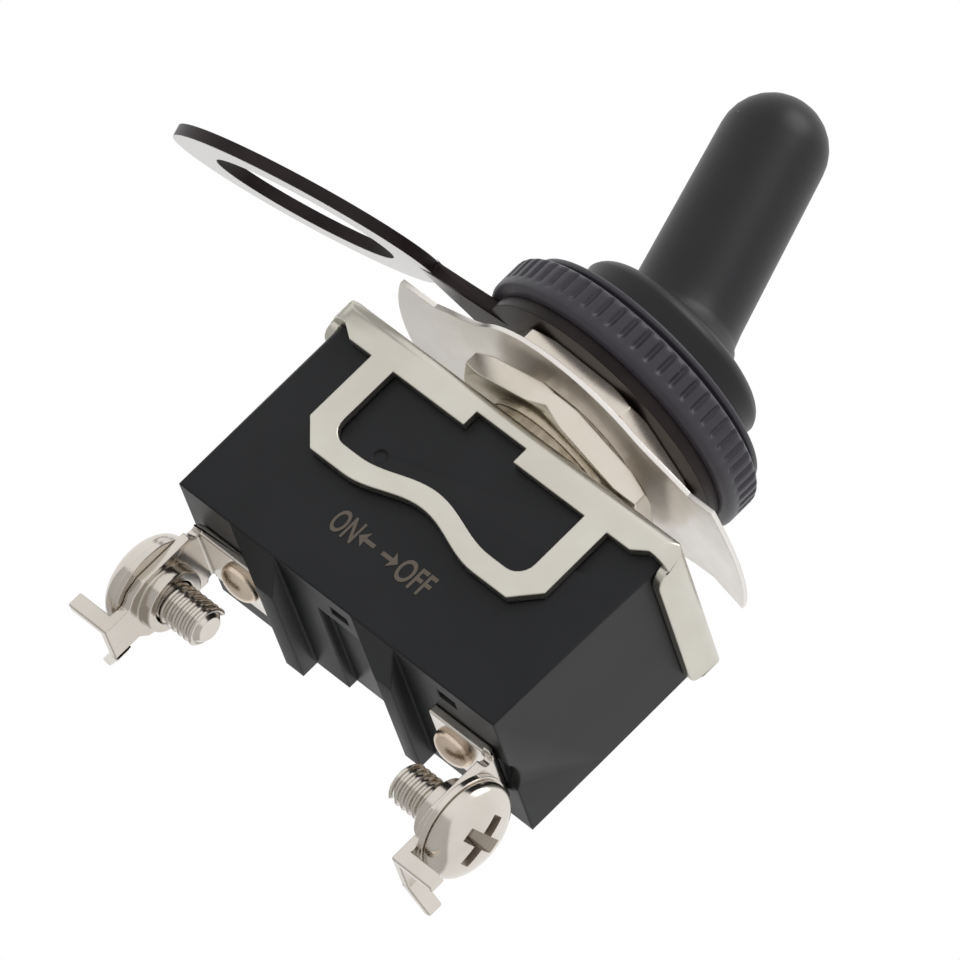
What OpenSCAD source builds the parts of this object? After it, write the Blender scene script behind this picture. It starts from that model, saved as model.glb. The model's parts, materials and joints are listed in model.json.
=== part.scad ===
// Panel toggle switch: a two-terminal lever switch in a moulded case, hung
// under a pressed steel bracket, with a threaded bushing, its nuts and plates
// and a rubber boot over the lever. Millimetres. +Z runs along the bushing
// towards the lever, X along the case, and Z = 0 is the bracket's top face,
// where a panel seats.

/* [Case] */
// Length of the case at its open top
case_len = 33; // [31:0.5:36]
// Width of the case at its open top
case_wid = 15.6; // [15:0.2:19]
// Height of the case, from its foot to the underside of the bracket
case_ht = 18.4; // [17.5:0.1:24]
// Draft of each outer wall over the height
case_draft = 0.25; // [0:0.05:0.6]
// Thickness of the case's side walls
case_wall = 1.6; // [1.3:0.1:2]
// Thickness of the case's floor
case_floor = 2.4; // [1.8:0.1:3]
// Radius of the case's upright edges
case_edge_r = 0.6; // [0.2:0.1:1.2]
// Height of the guard ribs under the case
rib_ht = 1.45; // [0.8:0.05:2.4]

/* [Bracket] */
// Thickness of the bracket's sheet
sheet_t = 0.8; // [0.5:0.1:1.2]
// Depth of the bracket's tray skirt below its top face
skirt_drop = 3; // [2.4:0.1:4]
// Outer radius where the tray's top turns into its skirt
tray_bend_r = 1.3; // [0.9:0.1:2]
// Depth of the side loops below the top face
loop_drop = 11.4; // [9:0.1:14]
// Half width over the outside of a side loop
loop_half = 12.1; // [10.8:0.1:13]
// Width of a side loop's legs
loop_leg = 2.25; // [1.6:0.05:3]
// Height of a side loop's foot band
loop_band = 1.8; // [1.2:0.1:2.4]
// Rise of the wave in the middle of a loop's foot
loop_wave = 1.5; // [0:0.1:2]

/* [Bushing and nuts] */
// Thread diameter of the bushing
bush_d = 12; // [11.6:0.1:13]
// Length of the bushing above the bracket
bush_len = 12; // [11.6:0.1:13]
// Bore of the bushing round the lever's ball
bush_bore = 8.8; // [8.6:0.1:9.4]
// Diameter of the bushing's flange under the bracket
bush_flange_d = 15; // [14:0.5:18]
// Gap between the bracket and the lower nut, for the panel
panel_gap = 1.2; // [0.8:0.1:2]
// Width of the hex nuts across their flats
nut_af = 17; // [16:0.5:18]
// Thickness of each hex nut
nut_t = 1.9; // [1.6:0.1:2.4]
// Turn of the lower nut about the bushing
nut_lower_turn = -80; // [-120:1:-60]
// Turn of the upper nut about the bushing
nut_upper_turn = -54; // [-90:1:-30]
// Loose gap between the lower nut and the wing plate
plate_gap = 0.9; // [0:0.1:1.2]

/* [Plates] */
// Diameter of the wing plate's middle disc
wing_disc_d = 22; // [19:0.5:24]
// Diameter over the wing tips
wing_tip_d = 34.6; // [28:0.2:40]
// Half angle of each wing
wing_half_angle = 22.5; // [12:0.5:35]
// Droop of the wing tips below the middle of the plate
wing_droop = 0.8; // [0.4:0.1:1.6]
// Thickness of the wing plate
wing_t = 0.4; // [0.4:0.1:0.8]
// Outer diameter of both rings of the ring plate
ring_d = 22.2; // [20:0.2:24]
// Hole of the free ring
ring_hole_d = 14.8; // [12:0.2:16]
// Thickness of the ring plate
ring_t = 1; // [0.8:0.1:1.2]
// Length of the neck between the two rings
ring_neck_len = 5.2; // [4:0.1:6.4]
// Width of the neck
ring_neck_w = 3; // [2:0.2:5]
// Direction of the free ring about the bushing
ring_turn = 195; // [180:1:240]
// Angle by which the free ring is bent down
ring_bend = 14; // [5:1:16]
// Twist of the neck between the two rings
ring_twist = 14; // [0:1:16]

/* [Lever] */
// Height of the lever's pivot above the bracket's top face
pivot_z = 5; // [4.6:0.1:5.4]
// Tilt of the lever from upright at each end of its throw
lever_tilt = 13; // [10:0.5:15]
// Diameter of the lever's pivot ball
ball_d = 8.4; // [7.6:0.1:8.4]
// Diameter of the lever's neck inside the bushing
lever_neck_d = 3.2; // [3:0.1:3.6]
// Diameter of the bat handle at its thick end
bat_d = 5.7; // [4.4:0.1:6]
// Diameter of the lever's arm below the ball
arm_d = 4.4; // [4.2:0.1:4.6]
// Length of the lever above its pivot
lever_len = 29.5; // [24:0.5:32]
// Diameter of the pivot pin
pin_d = 1.6; // [1.2:0.1:2]
// Length of the plunger that stands out of the lever's arm
nose_out = 4.5; // [3:0.1:5]
// Diameter of the plunger
plunger_d = 3; // [2.4:0.1:3]

/* [Contacts] */
// Height of the rocker's knife edge above the case's inner floor
fulcrum_ht = 3.6; // [3.5:0.1:3.7]
// Tilt of the rocker at each end of its travel
rocker_tilt = 8; // [6:0.5:8]
// Distance from a terminal rivet in to the contact buttons
contact_inset = 2.9; // [2.6:0.1:3.6]
// Thickness of the contact straps
strap_t = 0.8; // [0.6:0.1:1]
// Width of the contact straps
strap_w = 5; // [4:0.2:6]
// Diameter of the contact buttons
button_d = 2.8; // [2:0.1:3.2]

/* [Terminals] */
// Thickness of the terminals' sheet
term_t = 0.8; // [0.6:0.1:1]
// Width of each terminal
term_wid = 6.4; // [5.6:0.2:7.4]
// Distance from the case's end in to the outer face of a terminal
term_inset = 0.8; // [0.6:0.1:1.6]
// Distance from the case's end in to a terminal rivet
rivet_inset = 5.4; // [5.1:0.1:5.8]
// Depth of the terminal screws' axis below the case's foot
screw_drop = 5.1; // [4.9:0.1:5.6]
// Depth of the terminals' lower end below the case's foot
term_drop = 10.7; // [10.4:0.1:13]
// Thread diameter of the terminal screws
screw_d = 3.5; // [3:0.1:4]
// Length of the screws' shank
screw_len = 6.1; // [5:0.1:7]
// Diameter of the screws' head
screw_head_d = 8; // [7:0.1:8.6]
// Height of the screws' head
screw_head_t = 2; // [1.6:0.1:2.4]
// Length of the wire guards
guard_len = 3.2; // [2:0.1:4]

/* [Boot] */
// Diameter of the boot's ribbed collar
collar_d = 24.2; // [23.6:0.2:27]
// Height of the boot's collar
collar_ht = 3.3; // [3:0.1:4]
// Number of grooves round the collar
groove_count = 60; // [36:2:72]
// Width of one groove
groove_w = 0.5; // [0.3:0.05:0.7]
// Depth of one groove
groove_depth = 0.4; // [0.2:0.05:0.6]
// Diameter of the bellows above the collar
bellows_d = 16.8; // [16:0.2:19]
// Diameter of the sleeve at its foot
sleeve_d = 9; // [8.8:0.1:10]
// Wall of the rubber
rubber_t = 1; // [0.8:0.05:1.1]
// Clearance between the sleeve's end and the lever's tip
sleeve_end_gap = 0.4; // [0.3:0.1:1]

/* [Fits] */
// Radial clearance of a running fit
run_gap = 0.05; // [0.03:0.01:0.09]
// Clearance between parts that pass each other
pass_gap = 0.3; // [0.2:0.05:0.35]
// Clearance between seated parts
seat_gap = 0.02; // [0.01:0.01:0.04]

/* [Hidden] */
$fn = 64;

big = 60;
case_top_z = -sheet_t;
case_foot_z = case_top_z - case_ht;
cavity_floor_z = case_foot_z + case_floor;
tray_len = case_len + 2 * (sheet_t + seat_gap);
tray_wid = case_wid + 2 * (sheet_t + seat_gap);
tray_corner_r = case_edge_r + case_draft + sheet_t;
// the case's top edges are rounded to lie inside the tray's bend
case_top_r = tray_bend_r - sheet_t + 0.05;

// the bushing's flange and the insulating card under it
flange_t = 1.6;
flange_bottom_z = case_top_z - flange_t;
card_t = 0.5;
card_z = flange_bottom_z - seat_gap - card_t;
card_ledge = 0.5;

// the stack on the bushing, from the bracket upwards
nut_lower_z = panel_gap;
wing_z = nut_lower_z + nut_t + plate_gap;
nut_upper_z = wing_z + wing_t;
ring_z = nut_upper_z + nut_t;
boot_z = ring_z + ring_t;
collar_top_z = boot_z + collar_ht;
flange_ring_t = 0.55;
bellows_z = collar_top_z + 0.4 + flange_ring_t;
bellows_ht = 3.4;

// the lever's tip, and the boot's sleeve drawn over it
bat_r = bat_d / 2;
tip_dist = lever_len - bat_r;
tip_x = -tip_dist * sin(lever_tilt);
tip_z = pivot_z + tip_dist * cos(lever_tilt);
sleeve_root_z = bellows_z + 1.25;
sleeve_lean = atan2(-tip_x, tip_z - sleeve_root_z);
sleeve_len = sqrt(pow(tip_x, 2) + pow(tip_z - sleeve_root_z, 2));
sleeve_tip_r = bat_r + sleeve_end_gap + rubber_t;

// the terminals' places along the case
term_x = case_len / 2 - term_inset;
rivet_x = case_len / 2 - rivet_inset;
contact_x = rivet_x - contact_inset;

// the mechanism below the lever
fulcrum_z = cavity_floor_z + fulcrum_ht;
bore_r = bush_bore / 2;
tip_r = plunger_d / 2;
spring_wire = 0.45;

// the rocker's outline, half of it, along the middle of its sheet
rocker_t = 0.8;
rocker_flat = 0.8;
rocker_knee_x = 3.6;
rocker_knee_z = 3.15;
rocker_end_x = contact_x + button_d / 2;
rocker_w = 4.6;
button_t = 0.8;

// the slope of the rocker's sheet, and how far its bends shift each face
rocker_slope = atan2(rocker_knee_z - rocker_t / 2, rocker_knee_x - rocker_flat);
rocker_near = rocker_t / 2 * tan(rocker_slope / 2);

// the plunger's nose just clears the rocker's slope at either stop
nose_gap = 0.07;
nose_clear = (rocker_flat - rocker_near) * sin(rocker_slope) - rocker_t * cos(rocker_slope) - tip_r - nose_gap;
nose_dist = ((pivot_z - fulcrum_z) * cos(rocker_slope - rocker_tilt) + nose_clear)
    / cos(rocker_slope - rocker_tilt - lever_tilt);
plunger_reach = nose_dist + tip_r;
arm_len = plunger_reach - nose_out;

// where the fixed contact meets the moving one with the rocker down
moving_face_z = rocker_knee_z - rocker_t / 2 - button_t;
contact_gap = 0.1;
closed_x = contact_x * cos(rocker_tilt) + moving_face_z * sin(rocker_tilt);
closed_z = fulcrum_z - contact_x * sin(rocker_tilt) + moving_face_z * cos(rocker_tilt)
    - button_d / 2 * sin(rocker_tilt) - contact_gap;

// the terminals and their screws
rivet_r = 1.3;
rivet_head_r = 2.1;
rivet_head_t = 1.1;
inner_head_t = 0.8;
screw_z = case_foot_z - screw_drop;
term_foot_z = case_foot_z - term_t;
strap_edge = 1.9;
term_end_z = case_foot_z - term_drop;
washer_t = 0.5;
tongue_w = 3.8;
tongue_ht = 2.7;
washer_r = screw_head_d / 2 + 0.2;
guard_ht = min(1.4, term_drop - screw_drop - washer_r - pass_gap / 3);
head_x = term_x + washer_t + seat_gap;

// ---------- helpers ----------

function arc(cx, cy, r, from, to, steps = 8) =
    [for (i = [0:steps]) let (a = from + (to - from) * i / steps) [cx + r * cos(a), cy + r * sin(a)]];

function mirrored(half) = concat(half, [for (i = [len(half) - 1:-1:0]) [-half[i][0], half[i][1]]]);

function wave(x, half, rise) = rise * (1 + cos(180 * x / half)) / 2;

// a plan outline with rounded corners
module rounded_plan(len, wid, r) {
    corners = concat(
        arc(len / 2 - r, wid / 2 - r, r, 0, 90), arc(r - len / 2, wid / 2 - r, r, 90, 180),
        arc(r - len / 2, r - wid / 2, r, 180, 270), arc(len / 2 - r, r - wid / 2, r, 270, 360));
    polygon(corners);
}

// an X-Z outline given a width along Y
module along_y(wid) {
    rotate([90, 0, 0]) linear_extrude(wid, center = true) children();
}

// a Y-Z outline given a thickness along X, from x
module along_x(x, thick) {
    translate([x, 0, 0]) rotate([90, 0, 90]) linear_extrude(thick) children();
}

module hex(af, h) {
    corners = [for (i = [0:5]) af / 2 / cos(30) * [cos(60 * i), sin(60 * i)]];
    linear_extrude(h) polygon(corners);
}

// turns a piece that is drawn upright about the lever's pivot to its rest tilt
module at_lever() {
    translate([0, 0, pivot_z]) rotate([0, -lever_tilt, 0]) children();
}

// turns a piece that is drawn level about the knife edge to its rest tilt
module at_rocker() {
    translate([0, 0, fulcrum_z]) rotate([0, rocker_tilt, 0]) children();
}

// ---------- case ----------

// the outer body: walls that draw in towards the foot
module case_block() {
    hl = case_len / 2;
    hw = case_wid / 2;
    intersection() {
        along_y(big) polygon(mirrored(concat([[hl - case_draft, case_foot_z]],
            arc(hl - case_top_r, case_top_z - case_top_r, case_top_r, 0, 90))));
        along_x(-big / 2, big) polygon(mirrored(concat([[hw - case_draft, case_foot_z]],
            arc(hw - case_top_r, case_top_z - case_top_r, case_top_r, 0, 90))));
        translate([0, 0, case_foot_z])
            linear_extrude(case_ht) rounded_plan(case_len, case_wid, case_edge_r + case_draft);
    }
}

// one guard rib: a slope on its left, a wall on its right
module rib_outline(x0, x1, x2, root) {
    polygon([[x0, case_foot_z + root], [x1, case_foot_z - rib_ht],
        [x2, case_foot_z - rib_ht], [x2, case_foot_z + root]]);
}

rib_left = [-11, -8, -6.2];
rib_right = [0, 4.5, 6.1];
pocket_depth = 0.8;
pocket_x = -2.8;
pocket_front = 3.4;

module guard_ribs() {
    hw = case_wid / 2 - case_draft;
    lead = 4;
    difference() {
        intersection() {
            along_y(2 * hw) {
                rib_outline(rib_left[0], rib_left[1], rib_left[2], 0);
                rib_outline(rib_right[0], rib_right[1], rib_right[2], pocket_depth);
            }
            along_x(-big / 2, big) polygon([[-hw, case_foot_z + pocket_depth], [hw, case_foot_z + pocket_depth],
                [hw, case_foot_z - rib_ht], [lead - hw, case_foot_z - rib_ht], [-hw, case_foot_z]]);
        }
        // the left rib is scooped out round its rivet and strap
        translate([-rivet_x, 0, case_foot_z - 4]) cylinder(r = rivet_head_r + pass_gap, h = 4);
        translate([-rivet_x - 4, -term_wid / 2 - pass_gap, case_foot_z - 4])
            cube([4 + strap_edge + pass_gap, term_wid + 2 * pass_gap, 4]);
    }
}

module case() color([0.17, 0.17, 0.18]) {
    hw = case_wid / 2;
    inner_l = case_len - 2 * (case_wall + case_draft);
    inner_w = case_wid - 2 * (case_wall + case_draft);
    difference() {
        case_block();
        translate([0, 0, cavity_floor_z])
            linear_extrude(big) rounded_plan(inner_l, inner_w, 1);
        translate([0, 0, card_z - seat_gap])
            linear_extrude(big) rounded_plan(inner_l + 2 * card_ledge, inner_w + 2 * card_ledge, 1);
        // the shallow pocket between the ribs, open at the back
        translate([pocket_x, pocket_front + case_draft - hw, case_foot_z - 1])
            cube([rib_right[1] - 1 - pocket_x, case_wid, 1 + pocket_depth]);
        for (side = [-1, 1]) translate([side * rivet_x, 0, case_foot_z - 1])
            cylinder(r = rivet_r + run_gap, h = case_floor + 2);
        // a thumbnail notch under each end wall, beside the terminal
        for (side = [-1, 1]) translate([side * (case_len / 2 - 1.3), 0, case_foot_z - 2.4])
            rotate([0, 90 * side, 0]) cylinder(r = 3, h = 4);
        // ejector marks
        for (x = [0, rivet_x]) translate([x - 0.9, 1.6 - hw, case_foot_z - 1]) cube([1.8, 1, 1.25]);
        translate([-6, case_draft - hw, -8.4]) rotate([90, 0, 0]) cylinder(r = 0.55, h = 2);
    }
    guard_ribs();
}

// ---------- bracket ----------

// the tray's outer form, drawn in by off all round and under the top
module tray_form(off) {
    hl = tray_len / 2 - off;
    hw = tray_wid / 2 - off;
    r = tray_bend_r - off;
    bottom = -skirt_drop - 2;
    intersection() {
        along_y(big) polygon(mirrored(concat([[hl, bottom]], arc(hl - r, -off - r, r, 0, 90))));
        along_x(-big / 2, big) polygon(mirrored(concat([[hw, bottom]], arc(hw - r, -off - r, r, 0, 90))));
        translate([0, 0, bottom]) linear_extrude(big) rounded_plan(2 * hl, 2 * hw, tray_corner_r - off);
    }
}

// what is left of the tray's skirt in front view: relieved near the corners
relief_x = 14.4;
relief_rise = 0.8;
tab_reach = 0.4;

module skirt_front() {
    half = tray_len / 2 + 1;
    polygon(mirrored([[half, 1], [half, relief_rise - skirt_drop], [relief_x + 1.2, relief_rise - skirt_drop],
        [relief_x, -skirt_drop]]));
}

module end_tab() {
    foot = -skirt_drop - tab_reach;
    half = tray_wid / 2 - 1.3;
    r = 1.2;
    polygon(mirrored(concat([[half, 1]], arc(half - r, foot + r, r, 0, -90))));
}

// a side loop with its wavy foot and its notched window
module side_loop() {
    foot = -loop_drop;
    chamfer = 2;
    wave_half = loop_half - chamfer - 3.4;
    window_half = loop_half - loop_leg;
    window_foot = foot + loop_band;
    inner_wave_half = window_half - 3.1;
    corner = 1.5;
    wave_steps = 12;
    notch_half = 2.55;
    notch_top = -1.6;
    outer = concat([[loop_half, -tray_bend_r], [loop_half, foot + chamfer], [loop_half - chamfer, foot]],
        [for (i = [wave_steps:-1:0]) let (x = wave_half * i / wave_steps)
            [x, foot + wave(x, wave_half, loop_wave)]]);
    window = concat([[notch_half, notch_top], [notch_half, 0.1 - skirt_drop], [window_half, 0.1 - skirt_drop]],
        arc(window_half - corner, window_foot + corner, corner, 0, -90, 6),
        [for (i = [wave_steps:-1:0]) let (x = inner_wave_half * i / wave_steps)
            [x, window_foot + wave(x, inner_wave_half, loop_wave - 0.1)]]);
    difference() {
        polygon(mirrored(outer));
        polygon(mirrored(window));
    }
}

module bracket() color([0.78, 0.76, 0.70]) {
    // tray with its skirt trimmed to the relieved edge
    difference() {
        intersection() {
            tray_form(0);
            union() {
                along_y(big) skirt_front();
                // the ends reach a little lower, with rounded corners
                along_x(-big / 2, big) end_tab();
            }
        }
        tray_form(sheet_t);
        translate([0, 0, -big / 2]) cylinder(d = bush_d + 2 * seat_gap, h = big);
        side_windows();
    }
    // the loops, on both long sides
    for (side = [-1, 1]) translate([0, side * (tray_wid - sheet_t) / 2, 0])
        along_y(sheet_t) side_loop();
}

// the part of each window that rises into the skirt
module side_windows() {
    for (side = [-1, 1]) translate([0, side * tray_wid / 2, 0])
        along_y(4 * sheet_t) polygon([[-2.55, -skirt_drop - 1], [2.55, -skirt_drop - 1], [2.55, -1.6], [-2.55, -1.6]]);
}

module insulator_card() color([0.55, 0.38, 0.22]) {
    inner_l = case_len - 2 * (case_wall + case_draft - card_ledge + pass_gap / 2);
    inner_w = case_wid - 2 * (case_wall + case_draft - card_ledge + pass_gap / 2);
    slot_half = (pivot_z - card_z) * tan(lever_tilt) + arm_d / 2 / cos(lever_tilt) + pass_gap;
    slot_w = arm_d + 2 * pass_gap;
    translate([0, 0, card_z]) linear_extrude(card_t) difference() {
        rounded_plan(inner_l, inner_w, 0.9);
        rounded_plan(2 * slot_half, slot_w, slot_w / 2 - 0.01);
    }
}

// ---------- bushing and what stacks on it ----------

module bushing() color([0.72, 0.70, 0.64]) {
    mouth_r = (bush_len - pivot_z) * tan(lever_tilt) + lever_neck_d / 2 / cos(lever_tilt) + pass_gap;
    throat_z = pivot_z + sqrt(pow(bore_r, 2) - pow(throat_r(), 2));
    difference() {
        union() {
            translate([0, 0, case_top_z - 0.01]) cylinder(d = bush_d, h = bush_len - case_top_z + 0.01);
            intersection() {
                translate([0, 0, flange_bottom_z]) cylinder(d = bush_flange_d, h = flange_t);
                cube([big, case_wid - 2 * (case_wall + case_draft - card_ledge + pass_gap), big], center = true);
            }
        }
        // bore from below, closed by the ball's seat, and the lever's mouth above
        translate([0, 0, flange_bottom_z - 1]) cylinder(r = bore_r, h = pivot_z - flange_bottom_z + 1);
        translate([0, 0, pivot_z]) sphere(r = bore_r);
        translate([0, 0, throat_z - 0.3]) cylinder(r1 = throat_r(), r2 = mouth_r, h = bush_len - throat_z + 0.3);
        translate([0, 0, bush_len - 0.01]) cylinder(r = mouth_r, h = 1);
        translate([0, 0, pivot_z]) rotate([90, 0, 0]) cylinder(d = pin_d + 2 * seat_gap, h = big, center = true);
    }
}

// opening above the ball's seat, wide enough for the tilted neck
function throat_r() = 3.3;

module pivot_pin() color([0.70, 0.70, 0.72]) {
    translate([0, 0, pivot_z]) rotate([90, 0, 0]) cylinder(d = pin_d, h = bush_d - 1.2, center = true);
}

module hex_nut(z, turn) {
    chamfer_r = nut_af / 2 + 0.55;
    rise = 0.5;
    intersection() {
        translate([0, 0, z]) rotate([0, 0, turn]) difference() {
            hex(nut_af, nut_t);
            translate([0, 0, -1]) cylinder(d = bush_d + 2 * seat_gap, h = nut_t + 2);
        }
        // both faces are chamfered at the corners
        translate([0, 0, z]) rotate_extrude() polygon([[0, 0], [chamfer_r - 0.1, 0], [chamfer_r + 1, rise],
            [chamfer_r + 1, nut_t - rise], [chamfer_r - 0.1, nut_t], [0, nut_t]]);
    }
}

module hex_nut_lower() color([0.80, 0.80, 0.72]) hex_nut(nut_lower_z, nut_lower_turn);

module hex_nut_upper() color([0.78, 0.74, 0.70]) hex_nut(nut_upper_z, nut_upper_turn);

// the disc with its two wings, as it lies flat
module wing_outline() {
    tip_r0 = wing_tip_d / 2;
    difference() {
        union() {
            circle(d = wing_disc_d);
            for (side = [0, 180]) rotate(side)
                polygon(concat([[0, 0]], arc(0, 0, tip_r0, -wing_half_angle, wing_half_angle, 16)));
        }
        circle(d = bush_d + 2 * seat_gap);
    }
}

// flat between the nuts, with both wings bent down beyond them
module wing_plate() color([0.80, 0.79, 0.75]) {
    reach = wing_tip_d / 2;
    flat_half = nut_af / 2 / cos(30) - 0.2;
    slope = atan2(wing_droop, reach - flat_half);
    mitre = wing_t * tan(slope / 2);
    fall = (reach + 2 - flat_half) * tan(slope);
    intersection() {
        translate([0, 0, wing_z - big]) linear_extrude(2 * big) wing_outline();
        translate([0, 0, wing_z]) along_y(big) polygon(concat(
            [[-reach - 2, wing_t - fall], [-flat_half - mitre, wing_t], [flat_half + mitre, wing_t],
                [reach + 2, wing_t - fall]],
            [[reach + 2, -fall], [flat_half, 0], [-flat_half, 0], [-reach - 2, -fall]]));
    }
}

// places a piece on the free ring's axis, past the bend and the twist of the neck
module at_free_ring() {
    bend_x = ring_d / 2 + 0.85 * ring_neck_len;
    translate([bend_x, 0, ring_t / 2]) rotate([-ring_twist, ring_bend, 0])
        translate([ring_d + ring_neck_len - bend_x, 0, -ring_t / 2]) children();
}

// two flat rings joined by a neck, the free one bent down and twisted at the neck
module ring_plate() color([0.20, 0.19, 0.19]) {
    r = ring_d / 2;
    root_w = ring_neck_w + 1.8;
    translate([0, 0, ring_z]) rotate([0, 0, ring_turn]) difference() {
        union() {
            cylinder(r = r, h = ring_t);
            hull() {
                translate([r - 1.5, -root_w / 2, 0]) cube([0.8, root_w, ring_t]);
                at_free_ring() translate([0.2 - r, -ring_neck_w / 2, 0]) cube([0.8, ring_neck_w, ring_t]);
            }
            at_free_ring() cylinder(r = r, h = ring_t);
        }
        translate([0, 0, -1]) cylinder(d = bush_d + 2 * seat_gap, h = ring_t + 2);
        at_free_ring() translate([0, 0, -1]) cylinder(d = ring_hole_d, h = ring_t + 2);
    }
}

// ---------- boot ----------

boot_nut_t = 2.6;
boot_nut_af = 17;
boot_lip = 0.5;

module boot_nut() color([0.76, 0.74, 0.68]) {
    translate([0, 0, boot_z + boot_lip]) difference() {
        hex(boot_nut_af, boot_nut_t);
        translate([0, 0, -1]) cylinder(d = bush_d + 2 * seat_gap, h = boot_nut_t + 2);
    }
}

// half section of the collar, its flange ring and the bellows
module boot_section() {
    cr = collar_d / 2;
    fr = cr - 1.1;
    br = bellows_d / 2;
    round_r = 1.4;
    top_z = bellows_z + bellows_ht;
    polygon(concat(
        [[0, boot_z], [cr - 0.9, boot_z], [cr, boot_z + 0.7], [cr, collar_top_z - 0.7],
            [cr - 0.15, collar_top_z - 0.3], [cr - 0.5, collar_top_z], [fr - 0.5, collar_top_z + 0.2], [fr, bellows_z - flange_ring_t],
            [fr - 0.1, bellows_z - 0.1], [fr - 0.5, bellows_z], [br, bellows_z + 0.3]],
        arc(br - round_r, top_z - round_r, round_r, 0, 90),
        [[sleeve_d / 2 + 0.4, top_z], [0, top_z]]));
}

// the room that the boot leaves round the nut, the bushing and the lever
module boot_room() {
    top_z = bellows_z + bellows_ht;
    br = bellows_d / 2 - rubber_t;
    translate([0, 0, boot_z - 1]) cylinder(d = bush_d + 2 * seat_gap, h = 4);
    translate([0, 0, boot_z + boot_lip - seat_gap]) hex(boot_nut_af + 2 * seat_gap, boot_nut_t + 2 * seat_gap);
    translate([0, 0, boot_z + boot_lip + boot_nut_t]) cylinder(r = br - 0.6, h = bellows_z - boot_z - boot_lip - boot_nut_t + 0.5);
    translate([0, 0, bellows_z + 0.4]) cylinder(r = br, h = bellows_ht - rubber_t - 0.4);
}

// the sleeve starts from the bushing's axis and leans over to the lever's tip
module at_sleeve() {
    translate([0, 0, sleeve_root_z]) rotate([0, -sleeve_lean, 0]) children();
}

// the sleeve's outside, or its bore where it is drawn in by the rubber
module sleeve(in, from) {
    translate([0, 0, from]) cylinder(r1 = sleeve_d / 2 - in, r2 = sleeve_tip_r - in, h = sleeve_len - from);
    translate([0, 0, sleeve_len]) sphere(r = sleeve_tip_r - in);
}

module boot() color([0.17, 0.17, 0.18]) {
    sleeve_foot = bellows_z + bellows_ht - rubber_t - 0.2 - sleeve_root_z;
    r0 = collar_d / 2;
    groove_z = boot_z + 0.9;
    groove_ht = collar_ht - 1.25;
    difference() {
        union() {
            rotate_extrude($fn = 96) boot_section();
            at_sleeve() sleeve(0, sleeve_foot);
        }
        boot_room();
        at_sleeve() sleeve(rubber_t, sleeve_foot - 1.5);
        translate([0, 0, groove_z]) linear_extrude(groove_ht)
            for (i = [0:groove_count - 1]) rotate(360 / groove_count * i)
                translate([r0 - groove_depth, -groove_w / 2]) square([2, groove_w]);
    }
}

// ---------- lever and its plunger ----------

spring_room_r = tip_r + run_gap;
spring_top = 5.6;
plunger_body = 4.2;

module lever() color([0.74, 0.73, 0.70]) at_lever() {
    neck_r = lever_neck_d / 2;
    bat_from = bush_len - pivot_z + 3;
    difference() {
        union() {
            translate([0, 0, -arm_len]) cylinder(d = arm_d, h = arm_len);
            sphere(d = ball_d);
            cylinder(r = neck_r, h = bat_from + 0.01);
            translate([0, 0, bat_from]) cylinder(r1 = neck_r, r2 = bat_r, h = lever_len - bat_r - bat_from);
            translate([0, 0, lever_len - bat_r]) sphere(r = bat_r);
        }
        rotate([90, 0, 0]) cylinder(d = pin_d + 2 * run_gap, h = big, center = true);
        translate([0, 0, -arm_len - 1]) cylinder(r = spring_room_r, h = arm_len + 1 - 3.6);
    }
}

// sliding guide with a round nose
module plunger() color([0.90, 0.88, 0.80]) at_lever() {
    translate([0, 0, -plunger_reach + tip_r]) cylinder(r = tip_r, h = plunger_reach - tip_r - arm_len + plunger_body - 1);
    translate([0, 0, -plunger_reach + tip_r]) sphere(r = tip_r);
}

// compression spring between the plunger and the lever, as one coil
module plunger_spring() color([0.75, 0.75, 0.76]) at_lever() {
    coil_foot = -arm_len + plunger_body - 1 + seat_gap;
    coil_top = -3.6 - seat_gap;
    turns = 4.5;
    half = spring_wire / 2;
    mean_r = tip_r - half - 0.1;
    span = 180 * spring_wire * turns / (coil_top - coil_foot);
    steps = 7;
    bow = [for (i = [0:steps]) let (a = span * (2 * i / steps - 1)) [a, 0.05 + half * sqrt(1 - pow(a / span, 2))]];
    section = concat(
        [for (p = bow) (mean_r + p[1]) * [cos(p[0]), sin(p[0])]],
        [for (i = [steps:-1:0]) (mean_r - bow[i][1]) * [cos(bow[i][0]), sin(bow[i][0])]]);
    translate([0, 0, coil_foot]) linear_extrude(coil_top - coil_foot, twist = -360 * turns, slices = 60)
        polygon(section);
}

// ---------- contacts ----------

// the bent sheet, level, with its knife seat at the origin
module rocker_section() {
    lift = rocker_t / 2;
    near = rocker_near;
    top_half = [[rocker_end_x, rocker_knee_z + lift], [rocker_knee_x - near, rocker_knee_z + lift],
        [rocker_flat - near, rocker_t]];
    foot_half = [[rocker_end_x, rocker_knee_z - lift], [rocker_knee_x + near, rocker_knee_z - lift],
        [rocker_flat + near, 0]];
    polygon(concat(top_half,
        [for (i = [2:-1:0]) [-top_half[i][0], top_half[i][1]]],
        [for (i = [0:2]) [-foot_half[i][0], foot_half[i][1]]],
        [for (i = [2:-1:0]) foot_half[i]]));
}

module rocker() color([0.80, 0.55, 0.35]) at_rocker() along_y(rocker_w) rocker_section();

module moving_contact() color([0.88, 0.88, 0.86]) at_rocker()
    translate([contact_x, 0, moving_face_z]) cylinder(d = button_d, h = button_t);

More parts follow.
